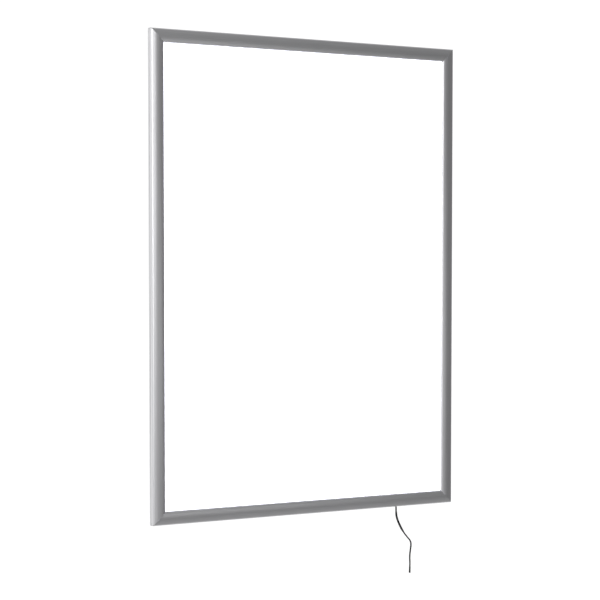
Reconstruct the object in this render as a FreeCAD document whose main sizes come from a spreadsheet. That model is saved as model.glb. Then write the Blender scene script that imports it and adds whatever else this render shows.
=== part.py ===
"""Wall-hung edge-lit LED panel with a hinged, mitred snap frame. Millimetres, +Z up.

The wall is the plane Y = 0, the panel's centre is at X = Z = 0 and the lit face looks along -Y.
The pieces that run along a side of the frame share one way of drawing their section: u runs from
the frame's outer side inwards, v runs from the wall outwards, and the length runs along the side.
"""
import FreeCAD, Part
import math
import os
import Sketcher

Vector = FreeCAD.Vector
Rotation = FreeCAD.Rotation

# Driving dimensions: alias, millimetres (or a count), what it is
SIZES = [
    ("width", 624, "outside width of the frame"),
    ("height", 871, "outside height of the frame"),
    ("floor", 1.5, "thickness of the base rail's rear flange"),
    ("wall", 1.2, "thickness of the upright walls of the base rail"),
    ("flange", 22.4, "width of the rear flange"),
    ("wall_top", 5.3, "height of the base rail's outer wall"),
    ("web_in", 9.0, "outer face of the base rail's inner wall"),
    ("web_top", 9.4, "height of the base rail's inner wall"),
    ("axis_in", 1.5, "hinge axis, from the frame's outer side"),
    ("axis_out", 7.0, "hinge axis, from the wall"),
    ("bead", 1.4, "radius of the hinge bead on the base rail"),
    ("hinge_gap", 0.05, "running clearance between bead and socket"),
    ("socket", 2.4, "outside radius of the hinge socket"),
    ("neck_out", 1.0, "outer side of the neck under the bead"),
    ("neck_in", 2.0, "inner side of the neck under the bead"),
    ("skin", 1.3, "wall thickness of the snap rail"),
    ("skirt", 8.9, "lower edge of the skirt at the snap rail's ends"),
    ("face", 25.0, "width of the snap rail's face"),
    ("crown", 22.0, "radius of the snap rail's crowned face"),
    ("crown_in", 13.5, "middle of the crown, from the frame's outer side"),
    ("crown_top", 17.0, "highest point of the crown, from the wall"),
    ("shoulder", 6.0, "radius between the side and the crown"),
    ("nose", 4.5, "radius between the crown and the inner lip"),
    ("lip", 10.7, "lower edge of the inner lip"),
    ("mitre_gap", 0.15, "set back of each snap rail's mitred end"),
    ("relief", 6, "length at each end where the snap rail has no socket"),
    ("panel_in", 10.4, "edge of the back panel and the diffuser"),
    ("guide_in", 12.2, "edge of the light guide and the reflector"),
    ("cover_in", 12.5, "edge of the cover sheet"),
    ("panel", 1.5, "thickness of the back panel"),
    ("film", 0.3, "thickness of the reflector film"),
    ("guide", 4.0, "thickness of the light guide"),
    ("opal", 2.0, "thickness of the diffuser"),
    ("print", 0.3, "room for the printed film"),
    ("cover", 0.8, "thickness of the cover sheet"),
    ("board", 0.8, "thickness of the LED board"),
    ("board_low", 3.2, "lower edge of the LED board"),
    ("board_wide", 4.0, "width of the LED board"),
    ("board_end", 13.5, "end of the LED board, from the frame's outer side"),
    ("chip", 2.8, "width of an LED"),
    ("chip_long", 3.5, "length of an LED"),
    ("chip_tall", 0.7, "height of an LED"),
    ("chip_pitch", 14, "spacing of the LEDs"),
    ("chips", 60, "LEDs on each board"),
    ("key_in", 3.0, "outer side of a corner key"),
    ("key_wide", 5.0, "width of a corner key's arm"),
    ("key_thick", 2.4, "thickness of a corner key"),
    ("key_arm", 35, "end of a corner key's arm, from the corner"),
    ("set_screw", 1.5, "radius of a corner key's set screw"),
    ("fixing", 2.25, "radius of a wall-screw hole"),
    ("fixing_in", 5.4, "wall-screw hole, from the frame's outer side"),
    ("fixing_span", 500, "distance between the wall-screw holes of one rail"),
    ("leaf", 0.5, "thickness of a leaf spring"),
    ("leaf_long", 20, "length of a leaf spring along its rail"),
    ("exit_x", 192.5, "place of the lead's exit along the bottom rail"),
    ("exit_out", 2.85, "height of the lead's exit above the wall"),
    ("exit_hole", 1.75, "radius of the hole for the grommet"),
    ("cord", 1.3, "radius of the lead"),
    ("feed", 0.6, "radius of a feed wire"),
]

# Route of the free lead: straight down out of the grommet, aside, and down again to its connector
CORD_ROUTE = [
    (192.5, -2.85, -430.3),
    (192.5, -2.85, -445.0),
    (194.1, -3.1, -459.7),
    (203.7, -4.5, -480.0),
    (213.5, -5.6, -494.0),
    (222.7, -6.6, -503.8),
    (224.0, -7.0, -511.5),
    (222.6, -7.0, -520.0),
    (221.0, -6.6, -534.0),
    (222.1, -6.0, -547.4),
    (222.1, -5.7, -554.1),
]
# How far the connector is turned about its own axis, in degrees
CONNECTOR_TURN = -15


class Size:
    """A length that carries both its number and the sheet expression that gives it."""

    def __init__(self, number, formula):
        self.number = number
        self.formula = formula

    def __add__(self, other):
        return Size(self.number + number(other), "({} + {})".format(self.formula, formula(other)))

    def __sub__(self, other):
        return Size(self.number - number(other), "({} - {})".format(self.formula, formula(other)))

    def __rsub__(self, other):
        return Size(number(other) - self.number, "({} - {})".format(formula(other), self.formula))

    def __mul__(self, other):
        return Size(self.number * number(other), "({} * {})".format(self.formula, formula(other)))

    def __neg__(self):
        return Size(-self.number, "(-{})".format(self.formula))

    __radd__ = __add__
    __rmul__ = __mul__


def number(value):
    return value.number if isinstance(value, Size) else value


def formula(value):
    return value.formula if isinstance(value, Size) else str(value)


class Sheet:
    """The spreadsheet, with each alias readable as a Size, such as sheet.width."""

    def __init__(self, doc):
        cells = doc.addObject("Spreadsheet::Sheet", "Sizes")
        for row, (alias, value, meaning) in enumerate(SIZES, start=1):
            cells.set("A{}".format(row), meaning)
            cells.set("B{}".format(row), str(value))
            cells.setAlias("B{}".format(row), alias)
            setattr(self, alias, Size(value, "Sizes." + alias))


doc = FreeCAD.newDocument("LightPanel")
s = Sheet(doc)
doc.recompute()


def constant(value):
    """A fixed length of its own, which no cell drives."""
    return Size(value, str(value))


ZERO = constant(0)
HALF_WIDTH = s.width * 0.5
HALF_HEIGHT = s.height * 0.5
BACK = s.floor
FILM_BACK = BACK + s.panel
GUIDE_BACK = FILM_BACK + s.film
OPAL_BACK = GUIDE_BACK + s.guide
COVER_BACK = OPAL_BACK + s.opal + s.print
# How far the grommet reaches into the channel behind the outer wall
GROMMET_TAIL = 0.8

sub_parts = []


# ---------------------------------------------------------------- sketches and features

def new_body(name):
    body = doc.addObject("PartDesign::Body", name)
    body.Label = name
    body.AllowCompound = True
    sub_parts.append(body)
    return body


def origin_feature(body, role):
    return [item for item in body.Origin.OriginFeatures if item.Role == role][0]


def new_sketch(body, name, plane, offset=ZERO):
    """A sketch on one of the body's own planes, moved along the plane's normal by the offset."""
    sketch = body.newObject("Sketcher::SketchObject", name)
    sketch.AttachmentSupport = [(origin_feature(body, plane), "")]
    sketch.MapMode = "FlatFace"
    sketch.AttachmentOffset = FreeCAD.Placement(Vector(0, 0, offset.number), Rotation())
    sketch.setExpression(".AttachmentOffset.Base.z", offset.formula)
    return sketch


def bind(sketch, kind, geometry, point, value):
    """A coordinate or radius of the sketch that follows the sheet."""
    if not isinstance(value, Size):
        return
    if kind == "Radius":
        index = sketch.addConstraint(Sketcher.Constraint(kind, geometry, value.number))
    else:
        index = sketch.addConstraint(Sketcher.Constraint(kind, geometry, point, value.number))
    if value.formula != "0":
        sketch.setExpression("Constraints[{}]".format(index), value.formula)


def corner(x, y):
    """A straight line that ends at this point. Plain numbers are left for the sketch to settle."""
    return {"end": (x, y), "arc": None, "smooth": False}


def arc(x, y, centre, radius, turn, smooth=False):
    """An arc that ends at this point; turn is 1 for anticlockwise, smooth joins what follows."""
    return {"end": (x, y), "arc": (centre, radius, turn), "smooth": smooth}


def smooth_corner(x, y):
    """A straight line that runs smoothly into the arc after it."""
    return {"end": (x, y), "arc": None, "smooth": True}


def draw(sketch, steps):
    """A closed outline through the steps, each a line or an arc that ends at its point."""
    first = sketch.GeometryCount
    starts = []
    ends = []
    for index, step in enumerate(steps):
        here = Vector(*[number(value) for value in steps[index - 1]["end"]], 0)
        there = Vector(*[number(value) for value in step["end"]], 0)
        if step["arc"] is None:
            sketch.addGeometry(Part.LineSegment(here, there), False)
            starts.append(1)
            ends.append(2)
            continue
        centre, radius, turn = step["arc"]
        middle = Vector(number(centre[0]), number(centre[1]), 0)
        low, high = (here, there) if turn > 0 else (there, here)
        low_angle = math.atan2(low.y - middle.y, low.x - middle.x)
        high_angle = math.atan2(high.y - middle.y, high.x - middle.x)
        circle = Part.Circle(middle, Vector(0, 0, 1), number(radius))
        sketch.addGeometry(Part.ArcOfCircle(circle, low_angle, high_angle), False)
        starts.append(1 if turn > 0 else 2)
        ends.append(2 if turn > 0 else 1)
    for index, step in enumerate(steps):
        after = (index + 1) % len(steps)
        kind = "Tangent" if step["smooth"] else "Coincident"
        pair = (first + index, ends[index], first + after, starts[after])
        sketch.addConstraint(Sketcher.Constraint(kind, *pair))
    for index, step in enumerate(steps):
        bind(sketch, "DistanceX", first + index, ends[index], step["end"][0])
        bind(sketch, "DistanceY", first + index, ends[index], step["end"][1])
        if step["arc"] is not None:
            centre, radius, _ = step["arc"]
            bind(sketch, "DistanceX", first + index, 3, centre[0])
            bind(sketch, "DistanceY", first + index, 3, centre[1])
            bind(sketch, "Radius", first + index, None, radius)


def draw_box(sketch, left, right, low, high):
    draw(sketch, [corner(left, low), corner(right, low), corner(right, high), corner(left, high)])


def draw_circle(sketch, x, y, radius):
    circle = Part.Circle(Vector(number(x), number(y), 0), Vector(0, 0, 1), number(radius))
    geometry = sketch.addGeometry(circle, False)
    bind(sketch, "DistanceX", geometry, 3, x)
    bind(sketch, "DistanceY", geometry, 3, y)
    bind(sketch, "Radius", geometry, None, radius)


def pad(body, name, sketch, length, symmetric=False):
    feature = body.newObject("PartDesign::Pad", name)
    feature.Profile = sketch
    feature.SideType = "Symmetric" if symmetric else "One side"
    feature.Length = length.number
    feature.setExpression("Length", length.formula)
    return feature


def pocket(body, name, sketch, length=None, reverse=False):
    """A cut against the sketch's normal, or along it when reversed; without a length it goes through."""
    feature = body.newObject("PartDesign::Pocket", name)
    feature.Profile = sketch
    feature.Reversed = reverse
    if length is None:
        feature.Type = "ThroughAll"
    else:
        feature.Length = length.number
        feature.setExpression("Length", length.formula)
    return feature


def repeat(body, feature, pitch, count):
    """Copies of the body's only feature along its own Z axis."""
    pattern = body.newObject("PartDesign::LinearPattern", feature.Name + "_row")
    pattern.Originals = [feature]
    pattern.Direction = (origin_feature(body, "Z_Axis"), [""])
    span = pitch * (count - 1)
    pattern.Length = number(span)
    pattern.setExpression("Length", formula(span))
    pattern.Occurrences = number(count)
    if isinstance(count, Size):
        pattern.setExpression("Occurrences", count.formula)
    body.Tip = pattern


# ---------------------------------------------------------------- the four sides

# side: turn about Y, place of its outer side, its length
SIDES = {
    "bottom": (0, ZERO, -HALF_HEIGHT, s.width),
    "left": (90, -HALF_WIDTH, ZERO, s.height),
    "top": (180, ZERO, HALF_HEIGHT, s.width),
    "right": (270, HALF_WIDTH, ZERO, s.height),
}
# Takes local X (u), Y (v) and Z (along) to +Z, -Y and +X, which is the bottom side
STAND_UP = Rotation(Vector(1, 0, 1), 180)


def place(thing, x, z, rotation):
    thing.Placement = FreeCAD.Placement(Vector(x.number, 0, z.number), rotation)
    thing.setExpression("Placement.Base.x", x.formula)
    thing.setExpression("Placement.Base.z", z.formula)


def place_on_side(body, side):
    angle, x, z, _ = SIDES[side]
    place(body, x, z, Rotation(Vector(0, 1, 0), angle) * STAND_UP)


def cut_mitres(body, side, reach, gap):
    """Takes both ends off at 45 degrees, each set back by the gap."""
    half = SIDES[side][3] * 0.5
    sketch = new_sketch(body, body.Name + "_mitre_outline", "XZ_Plane")
    for sign in (1, -1):
        outer = sign * (half - gap)
        inner = sign * (half - gap - reach)
        beyond = sign * (half + reach)
        draw(sketch, [corner(ZERO, outer), corner(reach, inner), corner(reach, beyond), corner(ZERO, beyond)])
    pocket(body, body.Name + "_mitre", sketch)


def make_base_rail(side):
    """Rear flange, outer wall with the hinge bead on its neck, and the inner wall for the boards."""
    body = new_body("base_rail_" + side)
    section = new_sketch(body, body.Name + "_section", "XY_Plane")
    bead_centre = (s.axis_in, s.axis_out)
    neck_foot = s.wall_top - 0.7
    draw(section, [
        corner(ZERO, ZERO),
        corner(s.flange, ZERO),
        corner(s.flange, s.floor),
        corner(s.web_in + s.wall, s.floor),
        corner(s.web_in + s.wall, s.web_top),
        corner(s.web_in, s.web_top),
        corner(s.web_in, s.floor),
        corner(s.wall, s.floor),
        corner(s.wall, neck_foot - 0.8),
        corner(s.neck_in, neck_foot),
        corner(s.neck_in, 5.69),
        arc(s.neck_out, 5.69, bead_centre, s.bead, 1),
        corner(s.neck_out, s.wall_top),
        corner(ZERO, s.wall_top),
    ])
    pad(body, body.Name + "_bar", section, SIDES[side][3], symmetric=True)
    cut_mitres(body, side, s.flange, ZERO)
    if side in ("top", "bottom"):
        holes = new_sketch(body, body.Name + "_fixing_holes", "XZ_Plane")
        for sign in (1, -1):
            draw_circle(holes, s.fixing_in, sign * 0.5 * s.fixing_span, s.fixing)
        pocket(body, body.Name + "_fixings", holes, s.floor)
    if side == "bottom":
        cut_cable_ways(body)
    place_on_side(body, side)


def cut_cable_ways(body):
    """The grommet's hole in the outer wall, and the feed wires' window in the inner wall."""
    hole = new_sketch(body, "exit_outline", "YZ_Plane")
    draw_circle(hole, s.exit_out, s.exit_x, s.exit_hole)
    pocket(body, "exit_hole", hole, s.wall + GROMMET_TAIL, reverse=True)
    window = new_sketch(body, "window_outline", "YZ_Plane", s.web_in)
    draw_box(window, s.board_low, s.board_low + 1.6, s.exit_x - 5, s.exit_x + 5)
    pocket(body, "window", window, s.wall, reverse=True)


def make_snap_rail(side):
    """A crowned cover with a skirt and an inner lip; behind it the hinge socket and spring foot."""
    body = new_body("snap_rail_" + side)
    section = new_sketch(body, body.Name + "_section", "XY_Plane")
    crown_centre = (s.crown_in, s.crown_top - s.crown)
    draw(section, [
        corner(ZERO, s.skirt),
        corner(s.skin, s.skirt),
        smooth_corner(s.skin, 9.13),
        arc(3.8, 13.28, (6.0, 9.13), s.shoulder - s.skin, -1, smooth=True),
        arc(21.78, 13.97, crown_centre, s.crown - s.skin, -1, smooth=True),
        arc(s.face - s.skin, 11.04, (20.5, 11.04), s.nose - s.skin, -1, smooth=True),
        corner(s.face - s.skin, s.lip),
        corner(s.face, s.lip),
        smooth_corner(s.face, 11.04),
        arc(22.3, 15.16, (20.5, 11.04), s.nose, 1, smooth=True),
        arc(3.19, 14.43, crown_centre, s.crown, 1, smooth=True),
        arc(ZERO, 9.13, (6.0, 9.13), s.shoulder, 1, smooth=True),
    ])
    pad(body, body.Name + "_bar", section, SIDES[side][3], symmetric=True)
    cut_mitres(body, side, s.face, s.mitre_gap)
    hinge = new_sketch(body, body.Name + "_hinge_section", "XY_Plane")
    axis = (s.axis_in, s.axis_out)
    bore = s.bead + s.hinge_gap
    draw(hinge, [
        corner(s.axis_in - 0.5, s.skirt + 0.7),
        corner(ZERO, s.skirt + 0.2),
        corner(ZERO, s.axis_out + 0.86),
        corner(s.axis_in - 1.19, 7.83),
        arc(s.axis_in + 0.89, 5.86, axis, bore, -1),
        corner(s.axis_in + 1.38, s.axis_out - 1.77),
        corner(s.axis_in + 2.2, s.axis_out - 2.6),
        corner(s.axis_in + 3.0, s.axis_out - 2.6),
        corner(s.axis_in + 3.0, s.axis_out - 1.7),
        corner(s.axis_in + 2.3, 6.31),
        arc(s.axis_in + 0.9, 9.22, axis, s.socket, 1),
    ])
    pad(body, body.Name + "_hinge", hinge, SIDES[side][3] - 2 * s.relief, symmetric=True)
    place_on_side(body, side)


def make_bar(name, side, inner, outer, low, high, length, pitch=None, count=1):
    """A straight bar of rectangular section along a side, or a row of short ones."""
    body = new_body(name)
    start = -0.5 * length
    if pitch is not None:
        start = start - 0.5 * pitch * (count - 1)
    section = new_sketch(body, name + "_section", "XY_Plane", start)
    draw_box(section, inner, outer, low, high)
    bar = pad(body, name + "_bar", section, length)
    if pitch is not None:
        repeat(body, bar, pitch, count)
    place_on_side(body, side)


def make_leaf_springs(side, pitch, count):
    """Bent leaves between the inner wall and the snap rail's foot, in a row along the side."""
    body = new_body("leaf_springs_" + side)
    start = -0.5 * s.leaf_long - 0.5 * pitch * (count - 1)
    section = new_sketch(body, body.Name + "_section", "XY_Plane", start)
    root = s.web_in - s.leaf
    tip = s.axis_in + 3.1
    draw(section, [
        corner(root, 2.2),
        corner(s.web_in, 2.2),
        corner(s.web_in, 5.6),
        corner(7.6, 8.7),
        corner(6.7, 8.7),
        corner(tip, 5.4),
        corner(tip, 4.5),
        corner(tip + s.leaf, 4.5),
        corner(tip + s.leaf, 5.2),
        corner(7.15, 8.15),
        corner(root, 5.4),
    ])
    leaf = pad(body, body.Name + "_leaf", section, s.leaf_long)
    repeat(body, leaf, pitch, count)
    place_on_side(body, side)


def make_layer(name, inset, back, thickness):
    """A rectangular sheet of the stack, parallel to the wall."""
    body = new_body(name)
    outline = new_sketch(body, name + "_outline", "XZ_Plane", back)
    half_x = HALF_WIDTH - inset
    half_z = HALF_HEIGHT - inset
    draw_box(outline, -half_x, half_x, -half_z, half_z)
    pad(body, name + "_plate", outline, thickness)


# ---------------------------------------------------------------- corners

CORNERS = {
    "bottom_left": (0, -HALF_WIDTH, -HALF_HEIGHT),
    "top_left": (90, -HALF_WIDTH, HALF_HEIGHT),
    "top_right": (180, HALF_WIDTH, HALF_HEIGHT),
    "bottom_right": (270, HALF_WIDTH, -HALF_HEIGHT),
}
KEY_MIDDLE = s.key_in + 0.5 * s.key_wide
KEY_SCREW = s.key_arm - 7


def make_corner_key(name):
    """An L-shaped key in the channels of two base rails, with a threaded hole in each arm."""
    angle, x, z = CORNERS[name]
    body = new_body("corner_key_" + name)
    outline = new_sketch(body, body.Name + "_outline", "XZ_Plane", BACK)
    inner = s.key_in + s.key_wide
    draw(outline, [
        corner(s.key_in, s.key_in),
        corner(s.key_arm, s.key_in),
        corner(s.key_arm, inner),
        corner(inner, inner),
        corner(inner, s.key_arm),
        corner(s.key_in, s.key_arm),
    ])
    for along, across in ((KEY_SCREW, KEY_MIDDLE), (KEY_MIDDLE, KEY_SCREW)):
        draw_circle(outline, along, across, s.set_screw + 0.05)
    pad(body, body.Name + "_plate", outline, s.key_thick)
    place(body, x, z, Rotation(Vector(0, 1, 0), angle))


def make_feature(name, shape):
    feature = doc.addObject("Part::Feature", name)
    feature.Label = name
    feature.Shape = shape
    sub_parts.append(feature)
    return feature


def make_set_screws():
    """Two socket set screws in each corner key, standing on the channel's floor."""
    radius = s.set_screw.number
    length = s.key_thick.number + 0.2
    screw = Part.makeCylinder(radius, length)
    hexagon = [Vector(0.8 * math.cos(turn * math.pi / 3), 0.8 * math.sin(turn * math.pi / 3), length)
               for turn in range(7)]
    screw = screw.cut(Part.Face(Part.makePolygon(hexagon)).extrude(Vector(0, 0, -1.2)))
    screws = []
    for angle, x, z in CORNERS.values():
        for along, across in ((KEY_SCREW, KEY_MIDDLE), (KEY_MIDDLE, KEY_SCREW)):
            copy = screw.copy()
            copy.rotate(Vector(0, 0, 0), Vector(1, 0, 0), 90)
            copy.translate(Vector(along.number, -BACK.number, across.number))
            copy.rotate(Vector(0, 0, 0), Vector(0, 1, 0), angle)
            copy.translate(Vector(x.number, 0, z.number))
            screws.append(copy)
    make_feature("corner_key_screws", Part.makeCompound(screws))


# ---------------------------------------------------------------- the lead and its fittings

BLOCK_LOW = constant(5.2)
BLOCK_HIGH = constant(8.8)


def make_terminal_block():
    """A two-way block in the bottom channel, where the lead meets the feed wires."""
    body = new_body("terminal_block")
    outline = new_sketch(body, "terminal_block_outline", "XY_Plane", s.exit_x - 6)
    draw_box(outline, BLOCK_LOW, BLOCK_HIGH, BACK, BACK + 3.4)
    pad(body, "terminal_block_bar", outline, constant(12))
    wells = new_sketch(body, "terminal_block_wells", "XZ_Plane", -(BACK + 3.4))
    for sign in (1, -1):
        draw_circle(wells, constant(7.0), s.exit_x + sign * 2.5, constant(1.0))
    pocket(body, "terminal_block_screw_wells", wells, constant(1.6), reverse=True)
    place_on_side(body, "bottom")


def make_grommet():
    """A flanged bush in the outer wall of the bottom rail, turned about the lead's axis."""
    body = new_body("grommet")
    section = new_sketch(body, "grommet_section", "XZ_Plane")
    rim = s.exit_hole + 0.6
    draw(section, [
        corner(s.cord, constant(-0.7)),
        corner(rim, constant(-0.7)),
        corner(rim, ZERO),
        corner(s.exit_hole, ZERO),
        corner(s.exit_hole, s.wall + GROMMET_TAIL),
        corner(s.cord, s.wall + GROMMET_TAIL),
    ])
    ring = body.newObject("PartDesign::Revolution", "grommet_ring")
    ring.Profile = section
    ring.ReferenceAxis = (section, ["V_Axis"])
    ring.Angle = 360
    place(body, s.exit_x, -HALF_HEIGHT, Rotation())
    body.setExpression("Placement.Base.y", (-s.exit_out).formula)


def bend_radius(before, here, after):
    """The largest arc that the two runs at a point allow, and half the turn there."""
    arriving = here - before
    leaving = after - here
    half_turn = arriving.getAngle(leaving) / 2
    shorter = min(arriving.Length, leaving.Length)
    return 0.45 * shorter / math.tan(half_turn), half_turn


def make_tube(name, route, radius):
    """A round tube along straight runs joined by tangent arcs; returns its bend radii."""
    points = [Vector(*point) for point in route]
    edges = []
    radii = []
    start = points[0]
    for before, here, after in zip(points, points[1:], points[2:]):
        bend, half_turn = bend_radius(before, here, after)
        radii.append(bend)
        back = (before - here).normalize()
        ahead = (after - here).normalize()
        trim = bend * math.tan(half_turn)
        depth = bend / math.cos(half_turn) - bend
        first = here + back * trim
        last = here + ahead * trim
        middle = here + (back + ahead).normalize() * depth
        edges.append(Part.LineSegment(start, first).toShape())
        edges.append(Part.Arc(first, middle, last).toShape())
        start = last
    edges.append(Part.LineSegment(start, points[-1]).toShape())
    path = Part.Wire(edges)
    ring = Part.Circle(points[0], points[1] - points[0], radius).toShape()
    tube = path.makePipeShell([Part.Wire(ring)], True, False)
    expected = math.pi * radius ** 2 * path.Length
    print("{}: length {:.1f}, volume {:.1f} against {:.1f}".format(name, path.Length, tube.Volume, expected))
    if abs(tube.Volume - expected) > 0.01 * expected:
        raise RuntimeError(name + " has the wrong volume")
    make_feature(name, tube)
    return radii


def make_feed_wires():
    """One wire from the terminal block to the lower end of each LED board."""
    bottom = -HALF_HEIGHT.number
    gap_z = bottom + 0.5 * (s.web_in.number + s.wall.number + s.guide_in.number)
    block_z = bottom + BLOCK_HIGH.number
    y = -(s.board_low.number + 0.8)
    board_x = HALF_WIDTH.number - (s.web_in.number + s.wall.number + 0.7)
    board_z = bottom + s.board_end.number
    for side, sign in (("left", -1), ("right", 1)):
        x = s.exit_x.number + sign * 2.5
        route = [(x, y, block_z), (x, y, gap_z), (sign * board_x, y, gap_z), (sign * board_x, y, board_z)]
        make_tube("feed_wire_" + side, route, s.feed.number)


def make_connector():
    """A slim two-way housing on the lead's end, with its two contacts."""
    body = new_body("cord_connector")
    outline = new_sketch(body, "cord_connector_outline", "XY_Plane")
    draw_box(outline, constant(-1.25), constant(1.25), constant(-2.1), constant(2.1))
    length = constant(12)
    housing = pad(body, "cord_connector_housing", outline, length)
    housing.Reversed = True
    mouth = new_sketch(body, "cord_connector_mouths", "XY_Plane", -length)
    contacts = new_body("cord_contacts")
    pins = new_sketch(contacts, "cord_contacts_outline", "XY_Plane", -length)
    for sign in (1, -1):
        low = constant(sign * 0.9 - 0.6)
        high = constant(sign * 0.9 + 0.6)
        draw_box(mouth, constant(-0.6), constant(0.6), low, high)
        draw_circle(pins, ZERO, constant(sign * 0.9), constant(0.35))
    pocket(body, "cord_connector_sockets", mouth, constant(6), reverse=True)
    pad(contacts, "cord_contacts_pins", pins, constant(6))
    end = Vector(*CORD_ROUTE[-1])
    along = end - Vector(*CORD_ROUTE[-2])
    for thing in (body, contacts):
        turn = Rotation(Vector(0, 0, 1), CONNECTOR_TURN)
        thing.Placement = FreeCAD.Placement(end, Rotation(Vector(0, 0, -1), along) * turn)


# ---------------------------------------------------------------- the assembly

for side in SIDES:
    make_base_rail(side)
    make_snap_rail(side)
for side in ("left", "right"):
    make_leaf_springs(side, 280, 3)
    board_face = s.web_in + s.wall
    board_length = s.height - 2 * s.board_end
    chip_low = s.board_low + 0.5 * (s.board_wide - s.chip)
    make_bar("led_board_" + side, side, board_face, board_face + s.board,
             s.board_low, s.board_low + s.board_wide, board_length)
    make_bar("led_row_" + side, side, board_face + s.board, board_face + s.board + s.chip_tall,
             chip_low, chip_low + s.chip, s.chip_long, s.chip_pitch, s.chips)
for side in ("top", "bottom"):
    make_leaf_springs(side, 240, 2)
    make_bar("edge_tape_" + side, side, s.guide_in - 0.2, s.guide_in,
             GUIDE_BACK, OPAL_BACK, s.width - 2 * s.guide_in)
make_bar("guide_support_pads", "bottom", s.web_in + s.wall, s.guide_in - 0.2,
         GUIDE_BACK + 1.8, OPAL_BACK, constant(20), constant(150), 4)

make_layer("back_panel", s.panel_in, BACK, s.panel)
make_layer("reflector_film", s.guide_in, FILM_BACK, s.film)
make_layer("light_guide", s.guide_in, GUIDE_BACK, s.guide)
make_layer("diffuser", s.panel_in, OPAL_BACK, s.opal)
make_layer("cover_sheet", s.cover_in, COVER_BACK, s.cover)

for name in CORNERS:
    make_corner_key(name)
make_set_screws()

make_terminal_block()
make_grommet()
make_feed_wires()
cord_radii = make_tube("power_cord", CORD_ROUTE, s.cord.number)
print("power_cord bend radii:", ", ".join("{:.1f}".format(radius) for radius in cord_radii))
make_connector()

# ---------------------------------------------------------------- checks and export

doc.recompute()
for item in doc.Objects:
    if "Invalid" in item.State or "Error" in item.State:
        raise RuntimeError("{} failed: {}".format(item.Name, item.State))
    if item.TypeId == "PartDesign::Pocket":
        if item.Shape.Volume > item.BaseFeature.Shape.Volume - 0.5:
            raise RuntimeError(item.Name + " cuts nothing")
for part in sub_parts:
    if part.Shape.isNull() or not part.Shape.isValid():
        raise RuntimeError(part.Label + " has no valid shape")

os.makedirs("parts", exist_ok=True)
for part in sub_parts:
    part.Shape.exportStep("parts/{}.step".format(part.Label))
    box = part.Shape.BoundBox
    print("{:24s} solids {:3d} volume {:10.1f}  x {:7.2f} {:7.2f}  y {:6.2f} {:6.2f}  z {:7.2f} {:7.2f}".format(
        part.Label, len(part.Shape.Solids), part.Shape.Volume,
        box.XMin, box.XMax, box.YMin, box.YMax, box.ZMin, box.ZMax))
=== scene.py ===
"""The looks of a wall-hung LED light panel: silver snap frame, lit white face, short black lead."""
import math

import bmesh
import bpy
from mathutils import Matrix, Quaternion, Vector


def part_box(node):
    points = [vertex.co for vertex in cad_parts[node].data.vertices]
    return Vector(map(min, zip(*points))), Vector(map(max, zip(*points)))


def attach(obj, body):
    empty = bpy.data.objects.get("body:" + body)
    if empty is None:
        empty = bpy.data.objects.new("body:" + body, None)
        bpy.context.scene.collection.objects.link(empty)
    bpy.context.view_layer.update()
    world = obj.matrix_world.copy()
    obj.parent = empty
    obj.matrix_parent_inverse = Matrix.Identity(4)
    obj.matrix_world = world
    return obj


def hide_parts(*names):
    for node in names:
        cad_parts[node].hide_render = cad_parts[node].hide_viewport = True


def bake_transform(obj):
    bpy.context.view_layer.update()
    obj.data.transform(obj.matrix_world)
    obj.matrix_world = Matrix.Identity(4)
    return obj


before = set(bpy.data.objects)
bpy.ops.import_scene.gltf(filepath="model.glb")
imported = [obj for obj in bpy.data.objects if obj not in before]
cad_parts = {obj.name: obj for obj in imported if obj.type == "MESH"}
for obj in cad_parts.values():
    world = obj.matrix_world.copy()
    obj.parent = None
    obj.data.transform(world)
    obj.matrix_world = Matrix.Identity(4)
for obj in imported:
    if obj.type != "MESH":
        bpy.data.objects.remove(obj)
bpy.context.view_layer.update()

SIDES = ("bottom", "left", "top", "right")

# ---------------------------------------------------------------- camera

CAMERA_YAW = 27.70       # degrees to the left of the panel's own front
CAMERA_DROP = 2.52       # degrees that the camera looks down
CAMERA_DISTANCE = 2.962
CAMERA_TARGET = Vector((-0.0121, 0.0012, -0.106))
CAMERA_LENS = 96.5       # millimetres, as the sensor
CAMERA_SENSOR = 36.0
CAMERA_SHIFT = 0.059     # upwards, as a share of the picture's width
CAMERA_REACH = 100.0     # the farthest that it sees


def make_camera():
    yaw = math.radians(CAMERA_YAW)
    drop = math.radians(CAMERA_DROP)
    ahead = Vector((math.sin(yaw) * math.cos(drop), math.cos(yaw) * math.cos(drop), -math.sin(drop)))
    data = bpy.data.cameras.new("camera")
    data.lens = CAMERA_LENS
    data.sensor_width = CAMERA_SENSOR
    data.shift_y = CAMERA_SHIFT
    data.clip_end = CAMERA_REACH
    camera = bpy.data.objects.new("camera", data)
    camera.location = CAMERA_TARGET - ahead * CAMERA_DISTANCE
    camera.rotation_euler = ahead.to_track_quat("-Z", "Y").to_euler()
    bpy.context.scene.collection.objects.link(camera)
    bpy.context.scene.camera = camera


make_camera()

# ---------------------------------------------------------------- materials

NOISE_DETAIL = 3.0
LINE_STRETCH = 0.012     # of the noise along an extrusion, which draws it out into lines
LINE_GRAIN = 900.0
LINE_ROUGHNESS = (-0.05, 0.06)   # what the lines take from and add to the roughness
LINE_BUMP = 0.25
LINE_DEPTH = 0.00005
SURFACE_DEPTH = 0.0001   # of the bump on every other surface
BLACK_BUMP = 0.3
BLACK_SPECULAR = 0.3
CLEAR_BUMP = 0.05


def principled(material):
    return material.node_tree.nodes["Principled BSDF"]


def new_material(name, colour, roughness, metallic=0.0):
    material = bpy.data.materials.new(name)
    material.use_nodes = True
    shader = principled(material)
    shader.inputs["Base Color"].default_value = (*colour, 1.0)
    shader.inputs["Roughness"].default_value = roughness
    shader.inputs["Metallic"].default_value = metallic
    return material


def add_node(material, kind, **settings):
    node = material.node_tree.nodes.new(kind)
    for key, value in settings.items():
        setattr(node, key, value)
    return node


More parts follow.
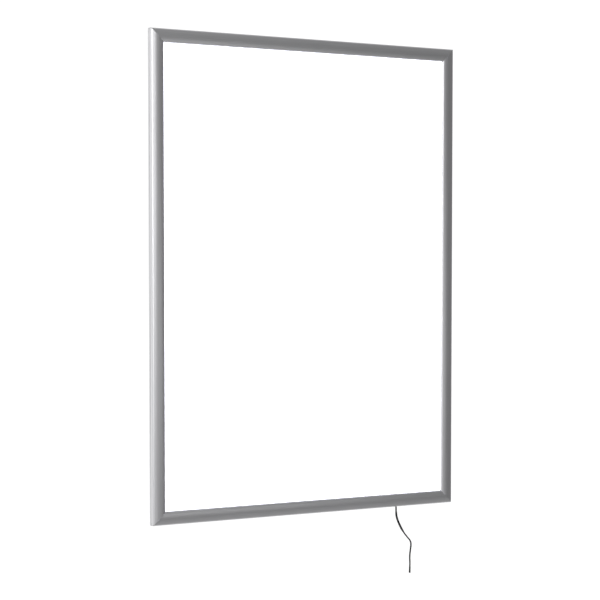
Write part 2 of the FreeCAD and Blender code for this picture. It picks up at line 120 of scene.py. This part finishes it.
def link(material, source, output, target, socket):
    material.node_tree.links.new(source.outputs[output], target.inputs[socket])


def object_noise(material, stretch, scale):
    """Noise in the object's own space, stretched by a factor on each axis."""
    place = add_node(material, "ShaderNodeTexCoord")
    mapping = add_node(material, "ShaderNodeMapping")
    mapping.inputs["Scale"].default_value = stretch
    noise = add_node(material, "ShaderNodeTexNoise")
    noise.inputs["Scale"].default_value = scale
    noise.inputs["Detail"].default_value = NOISE_DETAIL
    link(material, place, "Object", mapping, "Vector")
    link(material, mapping, "Vector", noise, "Vector")
    return noise


def vary_roughness(material, source, low, high):
    """The roughness, from low to high as a 0 to 1 value rises."""
    node = add_node(material, "ShaderNodeMapRange")
    node.inputs["To Min"].default_value = low
    node.inputs["To Max"].default_value = high
    link(material, source, "Fac", node, "Value")
    link(material, node, "Result", principled(material), "Roughness")


def add_bump(material, source, strength, depth=SURFACE_DEPTH):
    bump = add_node(material, "ShaderNodeBump")
    bump.inputs["Strength"].default_value = strength
    bump.inputs["Distance"].default_value = depth
    link(material, source, "Fac", bump, "Height")
    link(material, bump, "Normal", principled(material), "Normal")


def mottle(material, source, dark, light):
    """The base colour, varied between two tones by a 0 to 1 value."""
    mix = add_node(material, "ShaderNodeMix", data_type="RGBA")
    mix.inputs["A"].default_value = (*dark, 1.0)
    mix.inputs["B"].default_value = (*light, 1.0)
    link(material, source, "Fac", mix, "Factor")
    link(material, mix, "Result", principled(material), "Base Color")


def anodised(name, along, dark, light, roughness, metallic=1.0):
    """Satin anodised aluminium with fine extrusion lines along one axis."""
    material = new_material(name, light, roughness, metallic)
    stretch = [1.0, 1.0, 1.0]
    stretch["XYZ".index(along)] = LINE_STRETCH
    lines = object_noise(material, stretch, LINE_GRAIN)
    mottle(material, lines, dark, light)
    smoother, rougher = LINE_ROUGHNESS
    vary_roughness(material, lines, roughness + smoother, roughness + rougher)
    add_bump(material, lines, LINE_BUMP, LINE_DEPTH)
    return material


def plain(name, dark, light, roughness, grain, bump=0.15, metallic=0.0):
    """A material with a little mottling and a fine surface."""
    material = new_material(name, light, roughness, metallic)
    noise = object_noise(material, (1.0, 1.0, 1.0), grain)
    mottle(material, noise, dark, light)
    add_bump(material, noise, bump)
    return material


def black_plastic(name, dark, light, roughness, grain):
    """Matt black plastic or rubber with little shine at its edges."""
    material = plain(name, dark, light, roughness, grain, BLACK_BUMP)
    principled(material).inputs["Specular IOR Level"].default_value = BLACK_SPECULAR
    return material


def lit(name, dark, light, strength, roughness, grain):
    """A glowing surface, slightly mottled."""
    material = plain(name, dark, light, roughness, grain)
    shader = principled(material)
    shader.inputs["Emission Color"].default_value = (*light, 1.0)
    shader.inputs["Emission Strength"].default_value = strength
    return material


def clear(name, tint, roughness, ior, grain):
    """A clear sheet with the faint waviness of its surface."""
    material = new_material(name, tint, roughness)
    shader = principled(material)
    shader.inputs["Transmission Weight"].default_value = 1.0
    shader.inputs["IOR"].default_value = ior
    add_bump(material, object_noise(material, (1.0, 1.0, 1.0), grain), CLEAR_BUMP)
    return material


def anodised_face(along):
    """The snap rails, a little duller than bare metal under their anodised layer."""
    return anodised("anodised_face_" + along, along, dark=(0.60, 0.60, 0.615), light=(0.70, 0.70, 0.715),
                    roughness=0.47, metallic=0.88)


def anodised_base(along):
    return anodised("anodised_base_" + along, along, dark=(0.56, 0.56, 0.57), light=(0.64, 0.64, 0.65),
                    roughness=0.38)


snap_metal = {along: anodised_face(along) for along in "XZ"}
base_metal = {along: anodised_base(along) for along in "XZ"}
spring_steel = plain("spring_steel", dark=(0.40, 0.41, 0.43), light=(0.55, 0.56, 0.58),
                     roughness=0.30, grain=300.0, bump=0.1, metallic=1.0)
plated_steel = plain("plated_steel", dark=(0.42, 0.42, 0.41), light=(0.58, 0.57, 0.55),
                     roughness=0.35, grain=500.0, bump=0.1, metallic=1.0)
zinc = plain("zinc_key", dark=(0.33, 0.33, 0.34), light=(0.45, 0.45, 0.46),
             roughness=0.55, grain=400.0, bump=0.4, metallic=1.0)
contact_metal = plain("contact_metal", dark=(0.70, 0.55, 0.28), light=(0.80, 0.66, 0.36),
                      roughness=0.25, grain=500.0, bump=0.1, metallic=1.0)
foil = plain("foil_tape", dark=(0.75, 0.75, 0.76), light=(0.85, 0.85, 0.86),
             roughness=0.22, grain=150.0, bump=0.3, metallic=1.0)
board = plain("led_board", dark=(0.84, 0.84, 0.82), light=(0.92, 0.92, 0.90), roughness=0.35, grain=300.0)
chip = lit("led_chip", dark=(0.98, 0.90, 0.62), light=(1.0, 0.95, 0.80),
           strength=4.0, roughness=0.2, grain=900.0)
wire = plain("wire_insulation", dark=(0.55, 0.04, 0.03), light=(0.68, 0.07, 0.05),
             roughness=0.40, grain=300.0)
back_sheet = plain("back_panel", dark=(0.30, 0.30, 0.305), light=(0.36, 0.36, 0.365),
                   roughness=0.55, grain=260.0, bump=0.35)
film = plain("reflector_film", dark=(0.90, 0.90, 0.90), light=(0.95, 0.95, 0.95),
             roughness=0.45, grain=200.0)
foam = plain("foam_pad", dark=(0.05, 0.05, 0.055), light=(0.09, 0.09, 0.095),
             roughness=0.9, grain=900.0, bump=0.6)
white_nylon = plain("block_plastic", dark=(0.78, 0.78, 0.75), light=(0.86, 0.86, 0.83),
                    roughness=0.45, grain=300.0)
rubber = black_plastic("cord_rubber", dark=(0.018, 0.018, 0.02), light=(0.03, 0.03, 0.032),
                       roughness=0.65, grain=700.0)
jacket = black_plastic("cord_jacket", dark=(0.012, 0.012, 0.014), light=(0.022, 0.022, 0.025),
                       roughness=0.55, grain=900.0)
black_nylon = black_plastic("connector_plastic", dark=(0.014, 0.014, 0.016), light=(0.024, 0.024, 0.026),
                            roughness=0.50, grain=600.0)
acrylic = clear("light_guide", tint=(0.93, 0.97, 0.98), roughness=0.02, ior=1.49, grain=40.0)
opal = lit("diffuser", dark=(0.90, 0.915, 0.99), light=(0.915, 0.925, 1.0),
           strength=2.6, roughness=0.5, grain=500.0)
cover_film = clear("cover_sheet", tint=(1.0, 1.0, 1.0), roughness=0.12, ior=1.40, grain=60.0)


def give(material, name):
    """The material of a CAD node."""
    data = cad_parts[name].data
    data.materials.clear()
    data.materials.append(material)


for side in SIDES:
    along = "X" if side in ("top", "bottom") else "Z"
    give(snap_metal[along], "snap_rail_" + side)
    give(base_metal[along], "base_rail_" + side)
for side in ("left", "right"):
    give(board, "led_board_" + side)
    give(chip, "led_row_" + side)
    give(wire, "feed_wire_" + side)
for side in ("top", "bottom"):
    give(foil, "edge_tape_" + side)
for corner in ("bottom_left", "bottom_right", "top_left", "top_right"):
    give(zinc, "corner_key_" + corner)
give(plated_steel, "corner_key_screws")
give(back_sheet, "back_panel")
give(film, "reflector_film")
give(acrylic, "light_guide")
give(opal, "diffuser")
give(cover_film, "cover_sheet")
give(foam, "guide_support_pads")
give(white_nylon, "terminal_block")
give(contact_metal, "cord_contacts")

# ---------------------------------------------------------------- shapes

CURVE_STEPS = 16         # points for each span of a curve
SHARP_ANGLE = 35         # degrees between faces, above which their edge stays sharp


def route_line(points):
    """Points along the smooth curve whose control points are the route."""
    curve = bpy.data.curves.new("route_line", "CURVE")
    curve.dimensions = "3D"
    spline = curve.splines.new("NURBS")
    spline.points.add(len(points) - 1)
    for point, place in zip(spline.points, points):
        point.co = (*place, 1.0)
    spline.order_u = 3
    spline.use_endpoint_u = True
    curve.resolution_u = CURVE_STEPS
    holder = bpy.data.objects.new("route_line", curve)
    line = bpy.data.meshes.new_from_object(holder)
    places = [vertex.co.copy() for vertex in line.vertices]
    bpy.data.objects.remove(holder)
    bpy.data.meshes.remove(line)
    return places


def lengths_along(line):
    """The length of a line up to each of its points."""
    lengths = [0.0]
    for here, there in zip(line, line[1:]):
        lengths.append(lengths[-1] + (there - here).length)
    return lengths


def heading(line, index):
    """The direction in which a line runs at one of its points."""
    ahead = line[min(index + 1, len(line) - 1)]
    behind = line[max(index - 1, 0)]
    return (ahead - behind).normalized()


def shade_smooth(mesh):
    for polygon in mesh.polygons:
        polygon.use_smooth = True
    mesh.set_sharp_from_angle(angle=math.radians(SHARP_ANGLE))


def loft(name, rings, closed=False):
    """A mesh through rings of points; closed joins the last ring to the first."""
    body = bmesh.new()
    loops = [[body.verts.new(point) for point in ring] for ring in rings]
    pairs = list(zip(loops, loops[1:]))
    if closed:
        pairs.append((loops[-1], loops[0]))
    else:
        body.faces.new(reversed(loops[0]))
        body.faces.new(loops[-1])
    for low, high in pairs:
        for index in range(len(low)):
            after = (index + 1) % len(low)
            body.faces.new((low[index], low[after], high[after], high[index]))
    bmesh.ops.recalc_face_normals(body, faces=body.faces)
    mesh = bpy.data.meshes.new(name)
    body.to_mesh(mesh)
    body.free()
    shade_smooth(mesh)
    return mesh


def rounded_box(width, height, corner, count=6):
    """The outline of a rectangle with rounded corners, each of count points."""
    outline = []
    for quarter in range(4):
        turn = quarter * math.pi / 2
        middle_x = math.copysign(width / 2 - corner, math.cos(turn + math.pi / 4))
        middle_y = math.copysign(height / 2 - corner, math.sin(turn + math.pi / 4))
        for index in range(count):
            angle = turn + index / (count - 1) * math.pi / 2
            outline.append((middle_x + corner * math.cos(angle), middle_y + corner * math.sin(angle)))
    return outline


def cut(mesh, cutter):
    """The mesh with the cutter's volume taken out."""
    body = bpy.data.objects.new("cut_body", mesh)
    tool = bpy.data.objects.new("cut_tool", cutter)
    for thing in (body, tool):
        bpy.context.scene.collection.objects.link(thing)
    modifier = body.modifiers.new("cut", "BOOLEAN")
    modifier.operation = "DIFFERENCE"
    modifier.object = tool
    bpy.context.view_layer.update()
    result = bpy.data.meshes.new_from_object(body.evaluated_get(bpy.context.evaluated_depsgraph_get()))
    bpy.data.objects.remove(body)
    bpy.data.objects.remove(tool)
    return result


def new_object(name, mesh, material):
    thing = bpy.data.objects.new(name, mesh)
    mesh.materials.append(material)
    bpy.context.scene.collection.objects.link(thing)
    return thing


# ---------------------------------------------------------------- the lead

CORD_WIDTH = 0.0040
CORD_THICKNESS = 0.0023
CORD_GRIPPED = 0.0033    # its width where the bush grips it
CORD_ROUTE = [
    (0.1925, -0.00285, -0.4303),
    (0.1925, -0.00285, -0.4450),
    (0.1941, -0.00310, -0.4597),
    (0.2037, -0.00450, -0.4800),
    (0.2135, -0.00560, -0.4940),
    (0.2227, -0.00660, -0.5038),
    (0.2240, -0.00700, -0.5115),
    (0.2226, -0.00700, -0.5200),
    (0.2210, -0.00660, -0.5340),
    (0.2221, -0.00600, -0.5474),
    (0.2221, -0.00570, -0.5541),
]
# share of the length, and the turn of the flat side away from the panel's plane, in degrees
CORD_TWIST = [(0.0, 95), (0.10, 95), (0.18, 30), (0.38, 30), (0.47, 92), (0.9, 98), (1.0, 105)]
# share of the length, and the width there: gripped as far as the bush, and full below it
CORD_WIDTHS = [(0.0, CORD_GRIPPED), (0.045, CORD_GRIPPED), (0.075, CORD_WIDTH), (1.0, CORD_WIDTH)]
GROOVE_DEPTH = 0.30      # of the groove between the cores, and its spread, as shares of a core's radius
GROOVE_SPREAD = 0.30


def between(keys, share):
    """The value of a list of (share, value) keys at a share, with smooth steps."""
    for (low, first), (high, last) in zip(keys, keys[1:]):
        if share <= high:
            step = (share - low) / (high - low)
            return first + (last - first) * step * step * (3 - 2 * step)
    return keys[-1][1]


def twin_section(width, thickness, count=28):
    """The outline of two round cores side by side with a groove between them."""
    radius = thickness / 2
    offset = width / 2 - radius
    outline = []
    for index in range(count):
        angle = 2 * math.pi * (index + 0.5) / count
        x = math.copysign(offset, math.cos(angle)) + radius * math.cos(angle)
        groove = 1 - GROOVE_DEPTH * math.exp(-(x / (GROOVE_SPREAD * radius)) ** 2)
        outline.append((x, radius * math.sin(angle) * groove))
    return outline


def cord_side(along, share):
    """The direction of the flat cord's broad side at a share of its length."""
    across = Vector((0, 1, 0)).cross(along).normalized()
    return Quaternion(along, math.radians(between(CORD_TWIST, share))) @ across


def cord_rings(line):
    """The twisting flat section at each point of the cord's line."""
    lengths = lengths_along(line)
    rings = []
    for index, place in enumerate(line):
        along = heading(line, index)
        share = lengths[index] / lengths[-1]
        across = cord_side(along, share)
        depth = along.cross(across)
        outline = twin_section(between(CORD_WIDTHS, share), CORD_THICKNESS)
        rings.append([place + across * x + depth * y for x, y in outline])
    return rings


def make_cord():
    line = route_line(CORD_ROUTE)
    piece = new_object("lead", loft("lead", cord_rings(line)), jacket)
    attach(piece, "panel")
    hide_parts("power_cord")
    make_bush()
    make_plug()


PLUG_WIDTH = 0.0042
PLUG_THICKNESS = 0.0025
PLUG_LENGTH = 0.012
PLUG_CORNER = 0.0004
PLUG_CHAMFER = 0.0002
PLUG_FULL = (1.0, 1.0)   # shares of the width and the thickness, as the other pairs below
PLUG_NECK = [(0.0, 0.86, 0.84), (0.0001, 0.90, 0.90), (0.0012, 0.94, 0.95), (0.0014, *PLUG_FULL)]
PLUG_TIP = (0.95, 0.92)
GRIP_START = 0.0024      # the first groove of the grip, from the cord's end
GRIP_PITCH = 0.0016
GRIP_COUNT = 3
GRIP_SLOPE = 0.0002
GRIP_FLOOR = 0.0005
GRIP_WAIST = (0.93, 0.90)
SOCKET_SIDE = 0.0012
SOCKET_CORNER = 0.0001
SOCKET_DEPTH = 0.006
SOCKET_OFFSET = 0.0009   # of each socket from the plug's middle


def plug_steps():
    """Distances from the cord's end, with the shares of the width and the thickness there."""
    steps = list(PLUG_NECK)
    for groove in range(GRIP_COUNT):
        start = GRIP_START + groove * GRIP_PITCH
        steps.append((start, *PLUG_FULL))
        steps.append((start + GRIP_SLOPE, *GRIP_WAIST))
        steps.append((start + GRIP_SLOPE + GRIP_FLOOR, *GRIP_WAIST))
        steps.append((start + 2 * GRIP_SLOPE + GRIP_FLOOR, *PLUG_FULL))
    steps.append((PLUG_LENGTH - PLUG_CHAMFER, *PLUG_FULL))
    steps.append((PLUG_LENGTH, *PLUG_TIP))
    return steps


def make_plug():
    """A slim two-way housing with grip ribs and a rounded shoulder, on the lead's end."""
    end = Vector(CORD_ROUTE[-1])
    along = (end - Vector(CORD_ROUTE[-2])).normalized()
    across = cord_side(along, 1.0)
    depth = along.cross(across)

    def at(far, x, y):
        return end + along * far + across * x + depth * y

    rings = []
    for far, wide, thick in plug_steps():
        outline = rounded_box(PLUG_WIDTH * wide, PLUG_THICKNESS * thick, PLUG_CORNER)
        rings.append([at(far, x, y) for x, y in outline])
    mesh = loft("lead_plug", rings)
    square = rounded_box(SOCKET_SIDE, SOCKET_SIDE, SOCKET_CORNER, count=3)
    for offset in (SOCKET_OFFSET, -SOCKET_OFFSET):
        socket = [[at(far, x + offset, y) for x, y in square]
                  for far in (PLUG_LENGTH - SOCKET_DEPTH, PLUG_LENGTH + SOCKET_SIDE)]
        mesh = cut(mesh, loft("socket", socket))
    shade_smooth(mesh)
    plug = new_object("lead_plug", mesh, black_nylon)
    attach(plug, "panel")
    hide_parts("cord_connector")
    return plug


BUSH_LIP = 0.0006        # how far its rim stands out from its sleeve
BUSH_ROUND = 0.0002      # the rounding of its rim and of its mouth
BUSH_PLAY = 0.00004      # between the cord and the mouth
BUSH_POINTS = 48
BUSH_SKEW = 0.001        # share of a step, so that no point falls between the mouth's two ends


def make_bush():
    """The rubber bush at the lead's exit, with an oblong mouth for the flat cord."""
    low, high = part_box("grommet")
    middle = (low + high) / 2
    rim = (high.x - low.x) / 2
    sleeve = rim - BUSH_LIP
    frame_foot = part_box("base_rail_bottom")[0].z
    down = Vector((0, 0, -1))
    across = cord_side(down, 0.0)
    depth = down.cross(across)

    def ring(z, radius, half=0.0):
        """A circle, or an oblong whose round ends have their middles half to each side."""
        places = []
        for index in range(BUSH_POINTS):
            turn = 2 * math.pi * (index + BUSH_SKEW) / BUSH_POINTS
            x = math.copysign(half, math.cos(turn)) + radius * math.cos(turn)
            y = radius * math.sin(turn)
            places.append(Vector((middle.x, middle.y, z)) + across * x + depth * y)
        return places

    def mouth(z, margin):
        return ring(z, CORD_THICKNESS / 2 + margin, (CORD_GRIPPED - CORD_THICKNESS) / 2)

    rings = [mouth(high.z, BUSH_PLAY), mouth(low.z + BUSH_ROUND, BUSH_PLAY), mouth(low.z, BUSH_ROUND),
             ring(low.z, rim - BUSH_ROUND), ring(low.z + BUSH_ROUND / 2, rim - BUSH_ROUND / 4),
             ring(low.z + BUSH_ROUND, rim), ring(frame_foot, rim), ring(frame_foot, sleeve),
             ring(high.z, sleeve)]
    bush = new_object("lead_bush", loft("lead_bush", rings, closed=True), rubber)
    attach(bush, "panel")
    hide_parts("grommet")
    return bush


make_cord()

# ---------------------------------------------------------------- leaf springs

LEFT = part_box("base_rail_left")[0].x
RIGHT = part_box("base_rail_right")[1].x
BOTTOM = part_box("base_rail_bottom")[0].z
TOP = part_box("base_rail_top")[1].z
# the middle of a leaf: inwards from the frame's outer side, and outwards from the wall
LEAF_LINE = [
    (0.00875, 0.0022), (0.00875, 0.0053), (0.0079, 0.0072), (0.0071, 0.0092),
    (0.0060, 0.0072), (0.00485, 0.0057), (0.00485, 0.0045),
]
LEAF_THICKNESS = 0.0005
LEAF_LENGTH = 0.020
LEAF_CORNER = 0.0012
LONG_ROW = (0.280, 3)    # the pitch of the leaves on a side, and their number
SHORT_ROW = (0.240, 2)
LEAF_ROWS = {"left": LONG_ROW, "right": LONG_ROW, "top": SHORT_ROW, "bottom": SHORT_ROW}


def on_side(side, along, inward, outward):
    """A point given along a side of the frame, inwards from its outer side and outwards from the wall."""
    return Vector({
        "bottom": (along, -outward, BOTTOM + inward),
        "top": (-along, -outward, TOP - inward),
        "left": (LEFT + inward, -outward, -along),
        "right": (RIGHT - inward, -outward, along),
    }[side])


def leaf_half(far):
    """Half the leaf's length at a distance from its nearer edge, which has rounded corners."""
    if far >= LEAF_CORNER:
        return LEAF_LENGTH / 2
    left_over = LEAF_CORNER - far
    return LEAF_LENGTH / 2 - LEAF_CORNER + math.sqrt(LEAF_CORNER ** 2 - left_over ** 2)


def leaf_rings(side, middle):
    """The rectangles through a leaf, whose middle is given along its side of the frame."""
    line = route_line([(inward, outward, 0.0) for inward, outward in LEAF_LINE])
    lengths = lengths_along(line)
    rings = []
    for index, spot in enumerate(line):
        way = heading(line, index)
        normal = Vector((-way.y, way.x, 0)) * LEAF_THICKNESS / 2
        half = leaf_half(min(lengths[index], lengths[-1] - lengths[index]))
        ring = []
        for along, face_sign in ((-half, -1), (half, -1), (half, 1), (-half, 1)):
            point = spot + normal * face_sign
            ring.append(on_side(side, middle + along, point.x, point.y))
        rings.append(ring)
    return rings


def make_leaf_springs(side):
    """Bent leaves in a row along one side of the frame."""
    pitch, count = LEAF_ROWS[side]
    body = bmesh.new()
    for index in range(count):
        leaf = loft("leaf", leaf_rings(side, (index - (count - 1) / 2) * pitch))
        body.from_mesh(leaf)
        bpy.data.meshes.remove(leaf)
    mesh = bpy.data.meshes.new("leaf_set_" + side)
    body.to_mesh(mesh)
    body.free()
    shade_smooth(mesh)
    piece = new_object("leaf_set_" + side, mesh, spring_steel)
    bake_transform(piece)
    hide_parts("leaf_springs_" + side)


for side in SIDES:
    make_leaf_springs(side)

# ---------------------------------------------------------------- room and light

FLOOR_HEIGHT = -1.25
FLOOR_REACH = 30.0       # half of the floor's width
FLOOR_COLOUR = (0.9, 0.9, 0.9)
FLOOR_ROUGHNESS = 0.9
FLOOR_GLOW = 0.46        # lifts the floor to the backdrop's white
BACKDROP = 1.06          # what the camera sees behind the panel
ROOM_LIGHT = 0.106       # strength of the grey room in front of the panel
RISE_LIGHT = 0.25        # what the ceiling and the floor add to it
WIDE_LIGHT = 0.79        # the wide soft light from the left
WIDE_DIRECTION = Vector((-1.0, 0.0, 0.25))
WIDE_POWER = 3.0         # how closely it keeps to its direction
# each of these lights: where along its axis it starts, where it is full, and its strength there
BACK_LIGHT = (0.0, 0.6, 1.1)       # the white backdrop behind the panel, along Y
LOW_LIGHT = (-0.20, -0.95, 0.28)   # what the pale floor adds near the panel's foot, along Z
RIGHT_LIGHT = (0.45, 0.95, 0.15)   # what the right-hand wall adds, along X


def make_floor():
    mesh = bpy.data.meshes.new("floor")
    reach = FLOOR_REACH
    corners = [(-reach, -reach), (reach, -reach), (reach, reach), (-reach, reach)]
    mesh.from_pydata([(x, y, FLOOR_HEIGHT) for x, y in corners], [], [(0, 1, 2, 3)])
    material = new_material("floor", FLOOR_COLOUR, FLOOR_ROUGHNESS)
    shader = principled(material)
    shader.inputs["Emission Color"].default_value = (1.0, 1.0, 1.0, 1.0)
    shader.inputs["Emission Strength"].default_value = FLOOR_GLOW
    floor = new_object("floor", mesh, material)
    floor.visible_diffuse = False
    floor.visible_glossy = False


def add_math(tree, operation, *values):
    """One step of arithmetic in the world's nodes, on numbers and other nodes' outputs."""
    node = tree.nodes.new("ShaderNodeMath")
    node.operation = operation
    for socket, value in zip(node.inputs, values):
        if isinstance(value, (int, float)):
            socket.default_value = value
        else:
            tree.links.new(value, socket)
    return node.outputs["Value"]


def add_step(tree, value, light):
    """A light that grows smoothly along an axis."""
    start, full, strength = light
    node = tree.nodes.new("ShaderNodeMapRange")
    node.interpolation_type = "SMOOTHSTEP"
    node.inputs["From Min"].default_value = start
    node.inputs["From Max"].default_value = full
    node.inputs["To Max"].default_value = strength
    tree.links.new(value, node.inputs["Value"])
    return node.outputs["Result"]


def wide_light(tree, direction):
    """A lobe around one direction, which fades all the way to the opposite one."""
    toward = tree.nodes.new("ShaderNodeVectorMath")
    toward.operation = "DOT_PRODUCT"
    toward.inputs[1].default_value = WIDE_DIRECTION.normalized()
    tree.links.new(direction, toward.inputs[0])
    # from -1 to 1 onto 0 to 1
    nearness = add_math(tree, "MULTIPLY_ADD", toward.outputs["Value"], 0.5, 0.5)
    lobe = add_math(tree, "POWER", nearness, WIDE_POWER)
    return add_math(tree, "MULTIPLY", lobe, WIDE_LIGHT)


def room_strength(tree):
    """The strength of the room's light from each direction."""
    direction = tree.nodes.new("ShaderNodeTexCoord").outputs["Generated"]
    axes = tree.nodes.new("ShaderNodeSeparateXYZ")
    tree.links.new(direction, axes.inputs["Vector"])
    x, y, z = axes.outputs
    height = add_math(tree, "MULTIPLY", z, z)
    strength = wide_light(tree, direction)
    lights = (add_math(tree, "MULTIPLY", height, RISE_LIGHT), add_step(tree, x, RIGHT_LIGHT),
              add_step(tree, z, LOW_LIGHT), ROOM_LIGHT, add_step(tree, y, BACK_LIGHT))
    for light in lights:
        strength = add_math(tree, "ADD", strength, light)
    return strength


def make_world():
    """A white backdrop, and a grey room with one wide soft light for what falls on the panel."""
    world = bpy.data.worlds.new("studio")
    bpy.context.scene.world = world
    world.use_nodes = True
    tree = world.node_tree
    backdrop = tree.nodes["Background"]
    backdrop.inputs["Color"].default_value = (1.0, 1.0, 1.0, 1.0)
    backdrop.inputs["Strength"].default_value = BACKDROP
    room = tree.nodes.new("ShaderNodeBackground")
    tree.links.new(room_strength(tree), room.inputs["Strength"])
    path = tree.nodes.new("ShaderNodeLightPath")
    mix = tree.nodes.new("ShaderNodeMixShader")
    tree.links.new(path.outputs["Is Camera Ray"], mix.inputs["Fac"])
    tree.links.new(room.outputs["Background"], mix.inputs[1])
    tree.links.new(backdrop.outputs["Background"], mix.inputs[2])
    tree.links.new(mix.outputs["Shader"], tree.nodes["World Output"].inputs["Surface"])


def area_light(name, location, target, size, power):
    data = bpy.data.lights.new(name, "AREA")
    data.shape = "RECTANGLE"
    data.size, data.size_y = size
    data.energy = power
    light = bpy.data.objects.new(name, data)
    light.location = location
    light.rotation_euler = (Vector(target) - Vector(location)).to_track_quat("-Z", "Y").to_euler()
    bpy.context.scene.collection.objects.link(light)


make_floor()
make_world()
area_light("key_light", location=(-1.9, -1.55, 0.75), target=(-0.3, 0, 0.1),
           size=(1.5, 2.0), power=36.0)
area_light("fill_light", location=(0.25, -1.25, -0.2), target=(0, 0, -0.35),
           size=(0.7, 0.5), power=0.92)
bpy.context.scene.view_settings.view_transform = "Standard"
